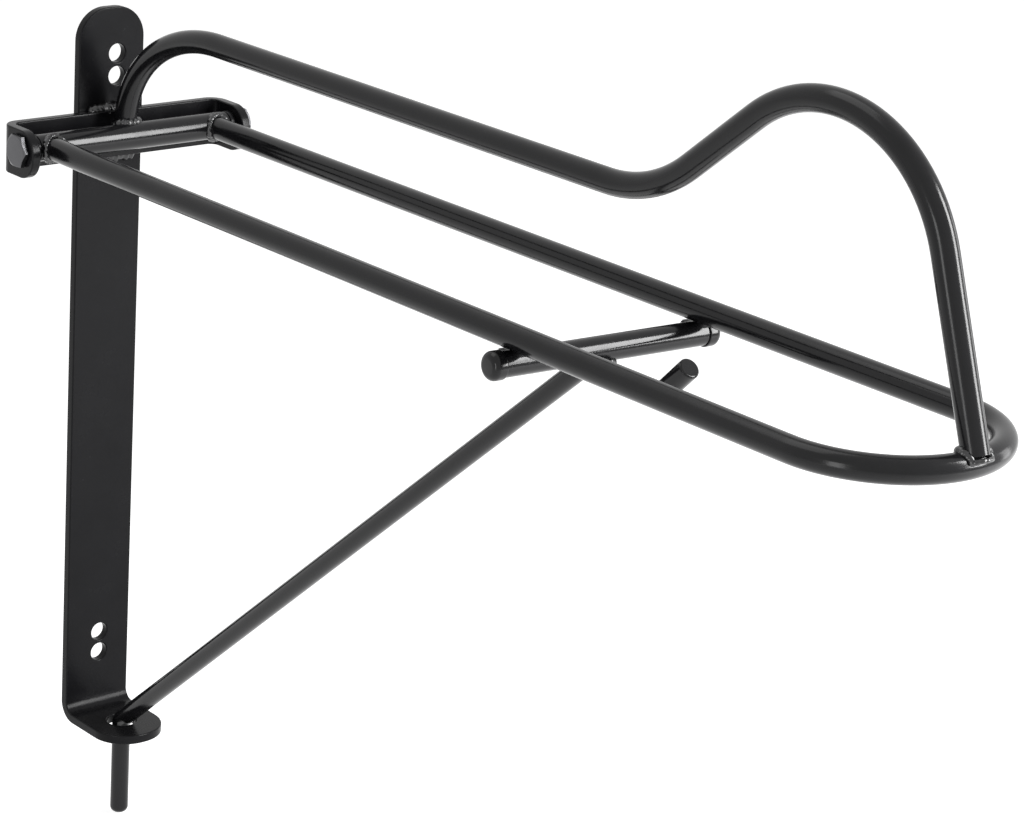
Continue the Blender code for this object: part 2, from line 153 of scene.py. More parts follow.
def makeOrangePeel():
    # the fine dimples that sprayed paint dries with, over slow waves in the steel below
    group, inside, out = startGroup(
        "orangePeel",
        [
            ("Dimples", "NodeSocketFloat", 900.0),
            ("Depth", "NodeSocketFloat", 1.0),
            ("Waves", "NodeSocketFloat", 0.3),
        ],
        [("Height", "NodeSocketFloat")],
    )
    dimples = noiseNode(group, inside.outputs["Dimples"], peelLook["dimpleDetail"])
    waves = noiseNode(group, peelLook["waveScale"], peelLook["waveDetail"])
    fine = mathNode(group, "MULTIPLY", dimples, inside.outputs["Depth"])
    slow = mathNode(group, "MULTIPLY", waves, inside.outputs["Waves"])
    group.links.new(mathNode(group, "ADD", fine, slow), out.inputs["Height"])
    return group


toneLook = {"scale": 55.0, "detail": 4.0, "roughness": 0.6, "middle": 0.5}


def makePaintTone():
    # thicker and thinner paint: the colour drifts a little over the surface
    group, inside, out = startGroup(
        "paintTone",
        [
            ("Colour", "NodeSocketColor", (0.02, 0.02, 0.02, 1)),
            ("Spread", "NodeSocketFloat", 0.3),
        ],
        [("Colour", "NodeSocketColor"), ("Drift", "NodeSocketFloat")],
    )
    drift = noiseNode(group, toneLook["scale"], toneLook["detail"], toneLook["roughness"])
    centred = mathNode(group, "SUBTRACT", drift, toneLook["middle"])
    spread = mathNode(group, "MULTIPLY", centred, inside.outputs["Spread"])
    value = mathNode(group, "ADD", spread, 1.0)
    tint = group.nodes.new("ShaderNodeHueSaturation")
    group.links.new(value, tint.inputs["Value"])
    group.links.new(inside.outputs["Colour"], tint.inputs["Color"])
    group.links.new(tint.outputs["Color"], out.inputs["Colour"])
    group.links.new(drift, out.inputs["Drift"])
    return group


wearLook = {"edge": (0.54, 0.62), "grain": (0.48, 0.62), "detail": 4.0, "roughness": 0.7}


def makeEdgeWear():
    # paint rubbed thin on convex edges, broken up by grain
    group, inside, out = startGroup(
        "edgeWear",
        [("Amount", "NodeSocketFloat", 0.3), ("Grain", "NodeSocketFloat", 700.0)],
        [("Mask", "NodeSocketFloat")],
    )
    shape = group.nodes.new("ShaderNodeNewGeometry")
    edge = rangeNode(group, shape.outputs["Pointiness"], *wearLook["edge"], 0.0, 1.0)
    noise = noiseNode(group, inside.outputs["Grain"], wearLook["detail"], wearLook["roughness"])
    grain = rangeNode(group, noise, *wearLook["grain"], 0.0, 1.0)
    both = mathNode(group, "MULTIPLY", edge, grain)
    mask = mathNode(group, "MULTIPLY", both, inside.outputs["Amount"], clamp=True)
    group.links.new(mask, out.inputs["Mask"])
    return group


dustLook = {"facing": (0.2, 1.0), "specks": (0.46, 0.7), "detail": 6.0, "roughness": 0.75}


def makeDust():
    # stable dust, which settles on what faces up
    group, inside, out = startGroup(
        "stableDust",
        [("Amount", "NodeSocketFloat", 0.1), ("Grain", "NodeSocketFloat", 260.0)],
        [("Mask", "NodeSocketFloat")],
    )
    shape = group.nodes.new("ShaderNodeNewGeometry")
    parts = group.nodes.new("ShaderNodeSeparateXYZ")
    group.links.new(shape.outputs["Normal"], parts.inputs[0])
    up = rangeNode(group, parts.outputs["Z"], *dustLook["facing"], 0.0, 1.0)
    noise = noiseNode(group, inside.outputs["Grain"], dustLook["detail"], dustLook["roughness"])
    specks = rangeNode(group, noise, *dustLook["specks"], 0.0, 1.0)
    both = mathNode(group, "MULTIPLY", up, specks)
    mask = mathNode(group, "MULTIPLY", both, inside.outputs["Amount"], clamp=True)
    group.links.new(mask, out.inputs["Mask"])
    return group


orangePeel = makeOrangePeel()
paintTone = makePaintTone()
edgeWear = makeEdgeWear()
stableDust = makeDust()

paints = {
    "platePaint": {
        "colour": (0.008, 0.008, 0.009), "roughness": 0.24, "specular": 0.10, "metallic": 0.0,
        "dimples": 750.0, "depth": 0.8, "waves": 0.5, "wear": 0.30, "dust": 0.03,
    },
    "bracketPaint": {
        "colour": (0.008, 0.008, 0.009), "roughness": 0.24, "specular": 0.14, "metallic": 0.0,
        "dimples": 750.0, "depth": 0.8, "waves": 0.6, "wear": 0.30, "dust": 0.03,
    },
    "armPaint": {
        "colour": (0.008, 0.008, 0.009), "roughness": 0.17, "specular": 0.27, "metallic": 0.0,
        "dimples": 950.0, "depth": 0.5, "waves": 0.6, "wear": 0.25, "dust": 0.03,
    },
    "strutPaint": {
        "colour": (0.008, 0.008, 0.009), "roughness": 0.15, "specular": 0.27, "metallic": 0.0,
        "dimples": 950.0, "depth": 0.5, "waves": 0.6, "wear": 0.25, "dust": 0.03,
    },
    "weldPaint": {
        "colour": (0.011, 0.011, 0.012), "roughness": 0.22, "specular": 0.70, "metallic": 0.0,
        "dimples": 1400.0, "depth": 0.9, "waves": 0.8, "wear": 0.10, "dust": 0.03,
    },
    "boltPlating": {
        "colour": (0.100, 0.100, 0.105), "roughness": 0.22, "specular": 0.50, "metallic": 1.0,
        "dimples": 2200.0, "depth": 0.4, "waves": 0.2, "wear": 0.60, "dust": 0.03,
    },
}
finishLook = {
    "wornColour": (0.060, 0.058, 0.055, 1),
    "dustColour": (0.160, 0.145, 0.120, 1),
    "toneSpread": 0.5,
    "drift": (0.3, 0.7),
    "glossier": 0.04,            # roughness taken off where the tone is darkest
    "duller": 0.05,              # and put on where it is lightest
    "dustDulls": 0.5,
    "bumpStrength": 0.25,
    "bumpDistance": 0.00012,
}


def groupNode(tree, group, values):
    node = tree.nodes.new("ShaderNodeGroup")
    node.node_tree = group
    for label, value in values.items():
        node.inputs[label].default_value = value
    return node


def makePaint(name, look):
    material = bpy.data.materials.new(name)
    material.use_nodes = True
    tree = material.node_tree
    shader = tree.nodes["Principled BSDF"]
    tone = groupNode(
        tree, paintTone, {"Colour": (*look["colour"], 1), "Spread": finishLook["toneSpread"]}
    )
    peel = groupNode(
        tree,
        orangePeel,
        {"Dimples": look["dimples"], "Depth": look["depth"], "Waves": look["waves"]},
    )
    worn = groupNode(tree, edgeWear, {"Amount": look["wear"]})
    dusty = groupNode(tree, stableDust, {"Amount": look["dust"]})
    rubbed = mixColour(
        tree, worn.outputs["Mask"], tone.outputs["Colour"], finishLook["wornColour"]
    )
    surface = mixColour(tree, dusty.outputs["Mask"], rubbed, finishLook["dustColour"])
    tree.links.new(surface, shader.inputs["Base Color"])
    low = look["roughness"] - finishLook["glossier"]
    high = look["roughness"] + finishLook["duller"]
    gloss = rangeNode(tree, tone.outputs["Drift"], *finishLook["drift"], low, high)
    dulled = mathNode(tree, "MULTIPLY", dusty.outputs["Mask"], finishLook["dustDulls"])
    tree.links.new(mathNode(tree, "ADD", gloss, dulled), shader.inputs["Roughness"])
    shader.inputs["Specular IOR Level"].default_value = look["specular"]
    shader.inputs["Metallic"].default_value = look["metallic"]
    bump = tree.nodes.new("ShaderNodeBump")
    bump.inputs["Strength"].default_value = finishLook["bumpStrength"]
    bump.inputs["Distance"].default_value = finishLook["bumpDistance"]
    tree.links.new(peel.outputs["Height"], bump.inputs["Height"])
    tree.links.new(bump.outputs["Normal"], shader.inputs["Normal"])
    return material


paintOfSlot = {
    "plate_paint": "platePaint",
    "bracket_paint": "bracketPaint",
    "arm_paint": "armPaint",
    "strut_paint": "strutPaint",
    "weld_paint": "weldPaint",
    "fastener_plating": "boltPlating",
}
materialOfSlot = {
    slotName: makePaint(paintName, paints[paintName]) for slotName, paintName in paintOfSlot.items()
}
print("paints made:", len(materialOfSlot))


# paths that the bars follow

def roundedPath(corners, radii):
    # the line through the corners, each inner corner rounded to its radius
    points = [corners[0].copy()]
    for before, corner, after, radius in zip(corners, corners[1:], corners[2:], radii):
        wayIn = (corner - before).normalized()
        wayOut = (after - corner).normalized()
        turn = wayIn.angle(wayOut)
        axis = wayIn.cross(wayOut).normalized()
        start = corner - wayIn * radius * tan(turn / 2)
        centre = start + axis.cross(wayIn) * radius
        steps = ceil(turn / meshDetail["arcStep"])
        for step in range(steps + 1):
            point = centre + Quaternion(axis, turn * step / steps) @ (start - centre)
            if (point - points[-1]).length > meshDetail["samePoint"]:
                points.append(point)
    points.append(corners[-1].copy())
    return points


def pathLengths(path):
    # distance from the start to each point
    lengths = [0.0]
    for first, second in zip(path, path[1:]):
        lengths.append(lengths[-1] + (second - first).length)
    return lengths


def pathWays(path):
    # direction at each point, and the widening that a mitre needs there
    ways = []
    for index, point in enumerate(path):
        wayIn = (point - path[index - 1]).normalized() if index else None
        wayOut = (path[index + 1] - point).normalized() if index + 1 < len(path) else None
        along = ((wayIn or wayOut) + (wayOut or wayIn)).normalized()
        ways.append((along, 1 / along.dot(wayOut or wayIn)))
    return ways


# meshes from paths, rings and outlines

def finishMesh(name, build):
    bmesh.ops.recalc_face_normals(build, faces=build.faces)
    mesh = bpy.data.meshes.new(name)
    build.to_mesh(mesh)
    build.free()
    mesh.shade_smooth()
    mesh.set_sharp_from_angle(angle=meshDetail["sharpAngle"])
    return mesh


def joinRings(build, rings, closed=False):
    pairs = list(zip(rings, rings[1:]))
    if closed:
        pairs.append((rings[-1], rings[0]))
    for first, second in pairs:
        for index in range(len(first)):
            nextOne = (index + 1) % len(first)
            build.faces.new((first[index], first[nextOne], second[nextOne], second[index]))


def capRing(build, ring):
    # closes an end with a fan of triangles round its middle
    middle = sum((corner.co for corner in ring), Vector()) / len(ring)
    tip = build.verts.new(middle)
    for index in range(len(ring)):
        build.faces.new((ring[index], ring[(index + 1) % len(ring)], tip))


def barMesh(name, path, radius, planeNormal, roundings=(meshDetail["endRounding"],) * 2):
    # a round bar along a path, with its two ends rounded
    stations = []
    for point, (along, widening) in zip(path, pathWays(path)):
        stations.append([point, along, widening, radius])
    steps = meshDetail["roundingSteps"]
    for rounding, inward, atStart in zip(roundings, (1, -1), (True, False)):
        point, along, widening, _ = stations.pop(0 if atStart else -1)
        ends = []
        for step in range(steps + 1):
            turn = pi / 2 * step / steps
            shift = along * inward * rounding * (1 - sin(turn))
            ends.append([point + shift, along, widening, radius - rounding * (1 - cos(turn))])
        stations = ends[::-1] + stations if atStart else stations + ends
    build = bmesh.new()
    rings = []
    for point, along, widening, ringRadius in stations:
        across = along.cross(planeNormal).normalized() * widening
        ring = []
        for side in range(meshDetail["barSides"]):
            turn = 2 * pi * side / meshDetail["barSides"]
            outward = planeNormal * cos(turn) + across * sin(turn)
            ring.append(build.verts.new(point + ringRadius * outward))
        rings.append(ring)
    joinRings(build, rings)
    capRing(build, rings[0])
    capRing(build, rings[-1])
    return finishMesh(name, build)


hexShape = {
    "bevelFrom": 0.985,          # share of half the flats at which the bevel starts
    "bevelAngle": radians(30),
    "leans": {"hex": 0, "hexTop": -1, "hexBase": 1},
}


def turnedMesh(name, start, along, rings, bored=False):
    # rings are (distance, radius, kind); a hex ring's radius is half its width across flats
    across = zAxis.cross(along).normalized()
    upward = along.cross(across)
    build = bmesh.new()
    sides = meshDetail["hexSides"]
    made = []
    for distance, radius, kind in rings:
        ring = []
        for side in range(sides):
            turn = 2 * pi * side / sides
            reach = radius
            drop = 0.0
            if kind != "round":
                fold = (turn + pi / 6) % (pi / 3) - pi / 6
                reach = radius / cos(fold)
                past = max(0.0, reach - radius * hexShape["bevelFrom"])
                drop = past * tan(hexShape["bevelAngle"]) * hexShape["leans"][kind]
            place = start + along * (distance + drop)
            ring.append(build.verts.new(place + reach * (upward * cos(turn) + across * sin(turn))))
        made.append(ring)
    joinRings(build, made, closed=bored)
    if not bored:
        capRing(build, made[0])
        capRing(build, made[-1])
    return finishMesh(name, build)


def outlineLoop(length, width, startRadius, endRadius, inset):
    # a flat bar's outline with its corners rounded, seen flat
    loop = []
    steps = meshDetail["cornerSteps"]
    corners = (
        (length - endRadius, width / 2 - endRadius, endRadius, 90),
        (startRadius, width / 2 - startRadius, startRadius, 180),
        (startRadius, -(width / 2 - startRadius), startRadius, 270),
        (length - endRadius, -(width / 2 - endRadius), endRadius, 360),
    )
    for centreU, centreV, radius, lastAngle in corners:
        reach = radius - inset
        for step in range(steps + 1):
            turn = radians(lastAngle - 90 + 90 * step / steps)
            loop.append((centreU + reach * cos(turn), centreV + reach * sin(turn)))
    return loop


def holeLoop(centreU, centreV, radius, inset):
    sides = meshDetail["holeSides"]
    reach = radius + inset
    loop = []
    for side in range(sides):
        turn = 2 * pi * side / sides
        loop.append((centreU + reach * cos(turn), centreV + reach * sin(turn)))
    return loop


def bentBarMesh(name, path, planeNormal, width, thickness, endRadii, holes, edgeRadius):
    # a flat blank with rounded edges and holes, then bent along the path
    lengths = pathLengths(path)
    build = bmesh.new()
    profile = []
    for step in range(meshDetail["edgeSteps"] + 1):
        turn = pi / 2 * step / meshDetail["edgeSteps"]
        depth = thickness / 2 - edgeRadius * (1 - cos(turn))
        profile.append((edgeRadius * (1 - sin(turn)), depth))
    profile += [(inset, -depth) for inset, depth in reversed(profile)]
    loops = [lambda inset: outlineLoop(lengths[-1], width, *endRadii, inset)]
    for centreU, centreV, radius in holes:
        loops.append(lambda inset, u=centreU, v=centreV, r=radius: holeLoop(u, v, r, inset))
    fronts, backs = [], []
    for makeLoop in loops:
        rings = []
        for inset, depth in profile:
            rings.append([build.verts.new((u, v, depth)) for u, v in makeLoop(inset)])
        joinRings(build, rings)
        for ring, kept in ((rings[0], fronts), (rings[-1], backs)):
            for index in range(len(ring)):
                kept.append(build.edges.get((ring[index], ring[(index + 1) % len(ring)])))
    for edges in (fronts, backs):
        bmesh.ops.triangle_fill(build, edges=edges, use_beauty=True, normal=(0, 0, 1))
    for station in lengths[1:-1]:
        everything = build.verts[:] + build.edges[:] + build.faces[:]
        bmesh.ops.bisect_plane(
            build,
            geom=everything,
            plane_co=(station, 0, 0),
            plane_no=xAxis,
            dist=meshDetail["onPlane"],
        )
    ways = pathWays(path)
    for vert in build.verts:
        along, across, depth = vert.co
        passed = sum(1 for length in lengths[1:-1] if length < along - meshDetail["samePoint"])
        index = max(0, min(len(lengths) - 2, passed))
        onFold = abs(lengths[index + 1] - along) < meshDetail["onFold"]
        if onFold and index + 1 < len(path) - 1:
            point, (way, widening) = path[index + 1], ways[index + 1]
        else:
            way, widening = (path[index + 1] - path[index]).normalized(), 1.0
            point = path[index] + way * (along - lengths[index])
        outward = way.cross(planeNormal).normalized()
        vert.co = point + planeNormal * across + outward * widening * depth
    bmesh.ops.remove_doubles(build, verts=build.verts, dist=meshDetail["onPlane"])
    return finishMesh(name, build)


def beadMesh(name, points, radius, ripple, closed=True, slimWay=Vector(), slimShare=1.0):
    # a weld bead: crescent ripples over a slow, uneven swell, slimmer towards slimWay
    phase = swellPhases[name]
    build = bmesh.new()
    middle = sum(points, Vector()) / len(points)
    distances = pathLengths(points)
    length = distances[-1] + ((points[0] - points[-1]).length if closed else 0)
    count = round(length / ripple["pitch"])
    rings = []
    for index, point in enumerate(points):
        hasNext = index + 1 < len(points) or closed
        before = points[index - 1] if index or closed else point
        after = points[(index + 1) % len(points)] if hasNext else point
        along = (after - before).normalized()
        outward = (point - middle) if closed else ripple["face"]
        outward = (outward - along * outward.dot(along)).normalized()
        across = along.cross(outward)
        share = distances[index] / length
        slow = sin(2 * pi * (ripple["slowSwells"] * share) + phase)
        fast = sin(2 * pi * (ripple["fastSwells"] * share) + ripple["fastShift"] * phase)
        swell = 1 + ripple["swell"] * (slow + ripple["fastShare"] * fast)
        if not closed:
            fromEnd = min(share, 1 - share) * 2
            fullness = 1 - (1 - fromEnd) ** ripple["endPower"]
            swell *= sqrt(max(ripple["endLeast"], fullness))
        swell *= 1 - (1 - slimShare) * max(0.0, outward.dot(slimWay))
        ring = []
        for side in range(ripple["sides"]):
            turn = 2 * pi * side / ripple["sides"]
            crescent = share * count + ripple["crescent"] * cos(turn)
            wave = abs(sin(pi * crescent)) - ripple["trough"]
            reach = radius * swell * (1 + ripple["depth"] * wave)
            ring.append(build.verts.new(point + reach * (outward * cos(turn) + across * sin(turn))))
        rings.append(ring)
    joinRings(build, rings, closed=closed)
    if not closed:
        capRing(build, rings[0])
        capRing(build, rings[-1])
    return finishMesh(name, build)


def addPiece(name, mesh, node):
    piece = bpy.data.objects.new(name, mesh)
    bpy.context.scene.collection.objects.link(piece)
    mesh.materials.append(materialOfSlot[slotOfNode[node]])
    # long faces keep their own shading where they meet small ones
    steady = piece.modifiers.new("steadyFaces", "WEIGHTED_NORMAL")
    steady.weight = meshDetail["steadyWeight"]
    steady.keep_sharp = True
    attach(piece, bodyOfNode[node])
    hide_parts(node)
    return piece


# places taken from the frame

sleeveLow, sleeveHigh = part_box("pivot_sleeve")
pivot = Vector((0, (sleeveLow.y + sleeveHigh.y) / 2, 0))
sleeveRadius = (sleeveHigh.z - sleeveLow.z) / 2
loopLow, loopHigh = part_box("seat_rail_loop")
barRadius = (loopHigh.z - loopLow.z) / 2
railX = loopHigh.x - barRadius
armReach = -loopLow.y - barRadius
plateLow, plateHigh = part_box("wall_plate")
bracketLow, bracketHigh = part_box("pivot_bracket")
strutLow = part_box("strut_rod")[0]
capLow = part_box("crossbar_cap_left")[0]
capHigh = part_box("crossbar_cap_right")[1]
seatGap = 0.0003


# wall plate

plateSizes = {
    "thickness": 0.005,
    "bendRadius": 0.006,
    "topRadius": 0.017,
    "footRadius": 0.019,
    "edgeRadius": 0.0007,
    "holeRadius": 0.005,
    "holePitch": 0.012,
    "upperHoles": (0.0035, 0.0337),       # sideways and height of the pair's middle
    "lowerHoles": (0.001, -0.293),
    "pinHoleRadius": 0.0081,
    "pinOut": 0.030,
}


def makeWallPlate():
    thickness = plateSizes["thickness"]
    width = plateHigh.x - plateLow.x
    middleY = -thickness / 2
    middleZ = plateLow.z + thickness / 2
    corners = [
        Vector((0, middleY, plateHigh.z)),
        Vector((0, middleY, middleZ)),
        Vector((0, plateLow.y, middleZ)),
    ]
    path = roundedPath(corners, [plateSizes["bendRadius"] + thickness / 2])
    length = pathLengths(path)[-1]
    holes = []
    for sideways, height in (plateSizes["upperHoles"], plateSizes["lowerHoles"]):
        for side in (1, -1):
            place = plateHigh.z - height - side * plateSizes["holePitch"] / 2
            holes.append((place, sideways, plateSizes["holeRadius"]))
    holes.append((length + plateLow.y + plateSizes["pinOut"], 0, plateSizes["pinHoleRadius"]))
    mesh = bentBarMesh(
        "wallPlate",
        path,
        xAxis,
        width,
        thickness,
        (plateSizes["topRadius"], plateSizes["footRadius"]),
        holes,
        plateSizes["edgeRadius"],
    )
    addPiece("wallPlate", mesh, "wall_plate")


# pivot bracket

bracketSizes = {
    "thickness": 0.005,
    "bendRadius": 0.004,
    "earRadius": 0.012,
    "edgeRadius": 0.0007,
}


def makePivotBracket():
    thickness = bracketSizes["thickness"]
    earX = bracketHigh.x - thickness / 2
    webY = bracketHigh.y - thickness / 2
    middleZ = (bracketLow.z + bracketHigh.z) / 2
    corners = [
        Vector((-earX, bracketLow.y, middleZ)),
        Vector((-earX, webY, middleZ)),
        Vector((earX, webY, middleZ)),
        Vector((earX, bracketLow.y, middleZ)),
    ]
    path = roundedPath(corners, [bracketSizes["bendRadius"] + thickness / 2] * 2)
    length = pathLengths(path)[-1]
    toPivot = pivot.y - bracketLow.y
    boreRadius = sleeveSizes["bore"]
    holes = [(toPivot, -middleZ, boreRadius), (length - toPivot, -middleZ, boreRadius)]
    mesh = bentBarMesh(
        "pivotBracket",
        path,
        zAxis,
        bracketHigh.z - bracketLow.z,
        thickness,
        (bracketSizes["earRadius"], bracketSizes["earRadius"]),
        holes,
        bracketSizes["edgeRadius"],
    )
    addPiece("pivotBracket", mesh, "pivot_bracket")


# bolt, nut, spacers and sleeve

boltSizes = {
    "shankRadius": 0.005,
    "halfFlats": 0.008,
    "middleShare": 0.30,         # rings on the head's face, as shares of half the flats
    "faceShare": 0.95,
    "rimShare": 0.985,
    "rimDrop": 0.0001,
    "seatShare": 0.97,
    "seatDrop": 0.0003,
    "threadLength": 0.006,
    "threadPitch": 0.0008,
    "threadDepth": 0.00045,
    "tipChamfer": 0.0007,
}
nutSizes = {"faceShare": 0.96, "seatDrop": 0.0003, "boreChamfer": 0.0004}
sleeveSizes = {"bore": 0.0053, "chamfer": 0.0005}


def makeBolt():
    boltLow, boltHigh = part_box("pivot_bolt")
    headTop = boltLow.x
    seatX = bracketLow.x - seatGap
    flats = boltSizes["halfFlats"]
    shank = boltSizes["shankRadius"]
    height = seatX - headTop
    length = boltHigh.x - headTop
    rings = [
        (0.0, flats * boltSizes["middleShare"], "round"),
        (0.0, flats * boltSizes["faceShare"], "round"),
        (boltSizes["rimDrop"], flats * boltSizes["rimShare"], "round"),
        (boltSizes["rimDrop"], flats, "hexBase"),
        (height - boltSizes["seatDrop"], flats, "hex"),
        (height, flats * boltSizes["seatShare"], "round"),
        (height, shank, "round"),
    ]
    pitch, chamfer = boltSizes["threadPitch"], boltSizes["tipChamfer"]
    place = length - boltSizes["threadLength"]
    while place < length - chamfer - pitch:
        rings.append((place, shank, "round"))
        rings.append((place + pitch / 2, shank - boltSizes["threadDepth"], "round"))
        place += pitch
    rings.append((length - chamfer, shank, "round"))
    rings.append((length, shank - chamfer, "round"))
    start = Vector((headTop, pivot.y, 0))
    addPiece("pivotBolt", turnedMesh("pivotBolt", start, xAxis, rings), "pivot_bolt")


def makeNut():
    nutLow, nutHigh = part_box("pivot_nut")
    flats = boltSizes["halfFlats"]
    bore = sleeveSizes["bore"]
    height = nutHigh.x - nutLow.x
    face = flats * nutSizes["faceShare"]
    drop, chamfer = nutSizes["seatDrop"], nutSizes["boreChamfer"]
    rings = [
        (0.0, bore, "round"),
        (0.0, face, "round"),
        (drop, flats, "hexBase"),
        (height - drop, flats, "hexTop"),
        (height, face, "round"),
        (height, bore + chamfer, "round"),
        (height - chamfer, bore, "round"),
    ]
    start = Vector((nutLow.x, pivot.y, 0))
    addPiece("pivotNut", turnedMesh("pivotNut", start, xAxis, rings, bored=True), "pivot_nut")


def makeTube(name, node):
    # sleeve or spacer: a bored tube with its outer edges broken
    low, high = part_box(node)
    length = high.x - low.x
    chamfer = sleeveSizes["chamfer"]
    soft = chamfer * meshDetail["softShare"]
    bore = sleeveSizes["bore"]
    rings = [
        (0.0, bore, "round"),
        (0.0, sleeveRadius - chamfer, "round"),
        (soft, sleeveRadius - soft, "round"),
        (chamfer, sleeveRadius, "round"),
        (length - chamfer, sleeveRadius, "round"),
        (length - soft, sleeveRadius - soft, "round"),
        (length, sleeveRadius - chamfer, "round"),
        (length, bore, "round"),
    ]
    start = Vector((low.x, pivot.y, 0))
    addPiece(name, turnedMesh(name, start, xAxis, rings, bored=True), node)


# lifting arm

ridgeSizes = {
    "height": 0.063,
    "rearY": 0.019,
    "rearBend": 0.0805,
    "rearSteps": 36,
    "humpLength": 0.1935,
    "riseAngle": radians(39.5),
    "entryRadius": 0.080,
    "humpRadius": 0.070,
    "fallAngle": radians(70.6),
    "lead": 0.002,
    "rearDepth": 0.0026,
    "frontDepth": 0.002,
}
ridgeEnd = Vector((0, -(armReach + ridgeSizes["lead"]), barRadius - ridgeSizes["frontDepth"]))


def loopPath():
    rearY = loopHigh.y
    corners = [
        Vector((-railX, rearY, 0)),
        Vector((-railX, -armReach, 0)),
        Vector((railX, -armReach, 0)),
        Vector((railX, rearY, 0)),
    ]
    return roundedPath(corners, [railX, railX])


def ridgePath():
    rearY = -ridgeSizes["rearY"]
    bendY = rearY - ridgeSizes["rearBend"]
    footZ = sleeveRadius - ridgeSizes["rearDepth"]
    top = ridgeSizes["height"]
    rearBend = []
    for step in range(ridgeSizes["rearSteps"]):
        turn = pi / 2 * step / ridgeSizes["rearSteps"]
        y = bendY + ridgeSizes["rearBend"] * cos(turn)
        rearBend.append(Vector((0, y, footZ + (top - footZ) * sin(turn))))
    entry = Vector((0, -(armReach - ridgeSizes["humpLength"]), top))
    rise, fall = tan(ridgeSizes["riseAngle"]), tan(ridgeSizes["fallAngle"])
    run = (ridgeEnd.z - top + fall * (entry.y - ridgeEnd.y)) / (rise + fall)
    summit = Vector((0, entry.y - run, top + rise * run))
    hump = roundedPath(
        [Vector((0, bendY, top)), entry, summit, ridgeEnd],
        [ridgeSizes["entryRadius"], ridgeSizes["humpRadius"]],
    )
    return rearBend + hump


def makeArm():
    rails = barMesh("railLoop", loopPath(), barRadius, zAxis)
    addPiece("railLoop", rails, "seat_rail_loop")
    ridge = barMesh("ridgeBar", ridgePath(), barRadius, xAxis)
    addPiece("ridgeBar", ridge, "ridge_bar")


# strut and crossbar

strutSizes = {
    "elbowDrop": 0.3305,
    "elbowRadius": 0.006,
    "kneeOut": 0.3858,
    "kneeRadius": 0.014,
    "hookOut": 0.435,
    "hookRadius": 0.012,
    "hookLength": 0.0249,
    "hookAngle": radians(45.5),
    "pinRounding": 0.0035,
    "hookRounding": 0.001,
    "radius": 0.005,
}
crossbarSizes = {
    "out": 0.3976,
    "skew": radians(4.4),
    "capLength": 0.007,
    "capRounding": 0.0032,
    "capRim": 0.0006,
    "padSize": (0.008, 0.006, 0.0058),
    "padSetback": 0.003,
    "padRounding": 0.0008,
}
crossbarZ = -(2 * barRadius + seatGap)
strutRunZ = crossbarZ - barRadius - seatGap - strutSizes["radius"]
crossing = Vector((0, -crossbarSizes["out"], crossbarZ))
crossbarWay = Vector((cos(crossbarSizes["skew"]), -sin(crossbarSizes["skew"]), 0))


def makeStrutRod():
    hookTurn = Vector((0, -strutSizes["hookOut"], strutRunZ))
    hookWay = Vector((0, -cos(strutSizes["hookAngle"]), sin(strutSizes["hookAngle"])))
    corners = [
        Vector((0, -plateSizes["pinOut"], strutLow.z)),
        Vector((0, -plateSizes["pinOut"], -strutSizes["elbowDrop"])),
        Vector((0, -strutSizes["kneeOut"], strutRunZ)),
        hookTurn,
        hookTurn + hookWay * strutSizes["hookLength"],
    ]
    path = roundedPath(
        corners, [strutSizes["elbowRadius"], strutSizes["kneeRadius"], strutSizes["hookRadius"]]
    )
    roundings = (strutSizes["pinRounding"], strutSizes["hookRounding"])
    mesh = barMesh("strutRod", path, strutSizes["radius"], xAxis, roundings)
    addPiece("strutRod", mesh, "strut_rod")


def makeCrossbar():
    skew = crossbarSizes["skew"]
    capRadius = (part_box("crossbar_cap_left")[1].z - capLow.z) / 2
    halfRim = (capRadius - crossbarSizes["capRounding"]) * sin(skew)
    reaches = {
        "left": (-capLow.x - halfRim) / cos(skew),
        "right": (capHigh.x - halfRim) / cos(skew),
    }
    capLength = crossbarSizes["capLength"]
    rounding, rim = crossbarSizes["capRounding"], crossbarSizes["capRim"]
    soft = rim * meshDetail["softShare"]
    ends = []
    for place, side in (("left", -1), ("right", 1)):
        seat = crossing + crossbarWay * side * (reaches[place] - capLength)
        ends.append(seat)
        rings = [
            (0.0, capRadius - rim, "round"),
            (soft, capRadius - soft, "round"),
            (rim, capRadius, "round"),
        ]
        for step in range(meshDetail["roundingSteps"] + 1):
            turn = pi / 2 * step / meshDetail["roundingSteps"]
            distance = capLength - rounding * (1 - sin(turn))
            rings.append((distance, capRadius - rounding * (1 - cos(turn)), "round"))
        name = "crossbarCap" + place.capitalize()
        addPiece(name, turnedMesh(name, seat, crossbarWay * side, rings), "crossbar_cap_" + place)
    addPiece("crossBar", barMesh("crossBar", ends, barRadius, zAxis), "crossbar")


def makeShadePads():
    # small dark pads in the corner behind the crossbar's top, under the rails: painted shade,
    # filling the shaded wedge where each rail rests on the crossbar
    back = Vector((-crossbarWay.y, crossbarWay.x, 0))
    for place, side in (("left", -1), ("right", 1)):
        centre = crossing + crossbarWay * side * railX / crossbarWay.x
        centre += back * crossbarSizes["padSetback"]
        centre.z = -(barRadius + 2 * seatGap) - crossbarSizes["padSize"][2] / 2
        build = bmesh.new()
        turn = Matrix.Rotation(-crossbarSizes["skew"], 4, "Z")
        shape = Matrix.Translation(centre) @ turn @ Matrix.Diagonal((*crossbarSizes["padSize"], 1))
        bmesh.ops.create_cube(build, size=1, matrix=shape)
        bmesh.ops.bevel(
            build,
            geom=build.edges[:],
            offset=crossbarSizes["padRounding"],
            segments=meshDetail["bevelSteps"],
            affect="EDGES",
        )
        name = "shadePad" + place.capitalize()
        addPiece(name, finishMesh(name, build), "crossbar_lug_" + place)


# welds

